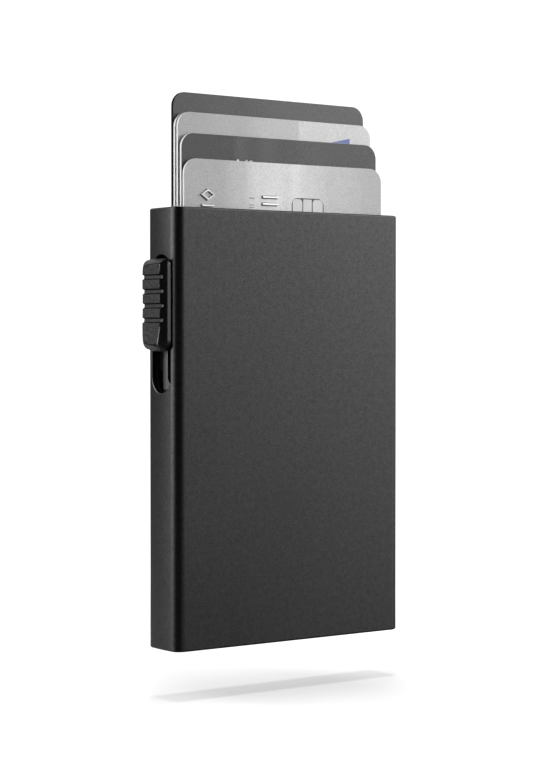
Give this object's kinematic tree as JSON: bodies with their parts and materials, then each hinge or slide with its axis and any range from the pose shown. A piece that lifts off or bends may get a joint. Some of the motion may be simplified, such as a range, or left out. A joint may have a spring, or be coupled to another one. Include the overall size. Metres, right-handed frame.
{
  "type": "pop-up card case wallet",
  "caption": "Slim metal card case; a side slider drives a stepped lever that fans the cards out of the mouth.",
  "frame": {"origin": "centre of the case's bottom face", "axes": "+Z towards the mouth, -Y out of the wide front face, -X out of the narrow side with the slider"},
  "size_m": [0.0639, 0.0114, 0.1199],
  "materials": {
    "case_aluminium": "fine bead-blasted, black anodised, satin",
    "slider_plastic": "moulded, satin black",
    "liner_plastic": "moulded, matte",
    "cap_plastic": "moulded, matte black",
    "lever_plastic": "moulded acetal, satin",
    "carriage_plastic": "moulded acetal, black",
    "spring_steel": "rolled strip",
    "rod_steel": "stamped strip, black oxide",
    "pin_steel": "ground",
    "bush_brass": "turned",
    "felt": "dense felt",
    "card_rear_pvc": "laminated, satin",
    "card_light_inner_pvc": "laminated, satin",
    "card_light_outer_pvc": "laminated, satin",
    "card_middle_pvc": "laminated, satin",
    "card_front_pvc": "laminated, satin",
    "chip_metal": "plated contacts"
  },
  "bodies": {
    "case": {"case_sleeve": "case_aluminium", "bottom_cap": "cap_plastic", "slider_guide": "liner_plastic", "guide_cover": "liner_plastic", "card_guide_right": "liner_plastic", "pressure_spring_left": "spring_steel", "pressure_spring_right": "spring_steel", "friction_strip_front": "felt", "pivot_pin": "pin_steel"},
    "slider": {"slider_button": "slider_plastic", "slider_carriage": "carriage_plastic", "button_screws": "pin_steel", "drive_rod": "rod_steel", "drive_stud": "pin_steel", "detent_spring": "spring_steel"},
    "lever": {"ejector_lever": "lever_plastic", "lever_bush": "bush_brass"},
    "card_rear": {"card_rear_dark": "card_rear_pvc"},
    "card_light_inner": {"card_light_inner": "card_light_inner_pvc"},
    "card_light_outer": {"card_light_outer": "card_light_outer_pvc"},
    "card_middle": {"card_middle_dark": "card_middle_pvc"},
    "card_front": {"card_front": "card_front_pvc", "chip_front": "chip_metal"}
  },
  "joints": [
    {"name": "slider_travel", "type": "slide", "parent": "case", "child": "slider", "axis": [0, 0, 1], "range_m": [-0.0082, 0]},
    {"name": "lever_swing", "type": "hinge", "parent": "case", "child": "lever", "pos_m": [-0.0254, 0, 0.0045], "axis": [0, -1, 0], "range_deg": [-35.06, 0]},
    {"name": "card_rear_lift", "type": "slide", "parent": "case", "child": "card_rear", "axis": [0, 0, 1], "range_m": [-0.02631, 0]},
    {"name": "card_light_inner_lift", "type": "slide", "parent": "case", "child": "card_light_inner", "axis": [0, 0, 1], "range_m": [-0.02186, 0]},
    {"name": "card_light_outer_lift", "type": "slide", "parent": "case", "child": "card_light_outer", "axis": [0, 0, 1], "range_m": [-0.02186, 0]},
    {"name": "card_middle_lift", "type": "slide", "parent": "case", "child": "card_middle", "axis": [0, 0, 1], "range_m": [-0.01728, 0]},
    {"name": "card_front_lift", "type": "slide", "parent": "case", "child": "card_front", "axis": [0, 0, 1], "range_m": [-0.01172, 0]}
  ],
  "couplings": [
    {"joint": "lever_swing", "follows": "slider_travel", "rad_per_m": 74.589},
    {"joint": "card_rear_lift", "follows": "slider_travel", "ratio": 3.2073},
    {"joint": "card_light_inner_lift", "follows": "slider_travel", "ratio": 2.6646},
    {"joint": "card_light_outer_lift", "follows": "slider_travel", "ratio": 2.6646},
    {"joint": "card_middle_lift", "follows": "slider_travel", "ratio": 2.1061},
    {"joint": "card_front_lift", "follows": "slider_travel", "ratio": 1.4281}
  ]
}
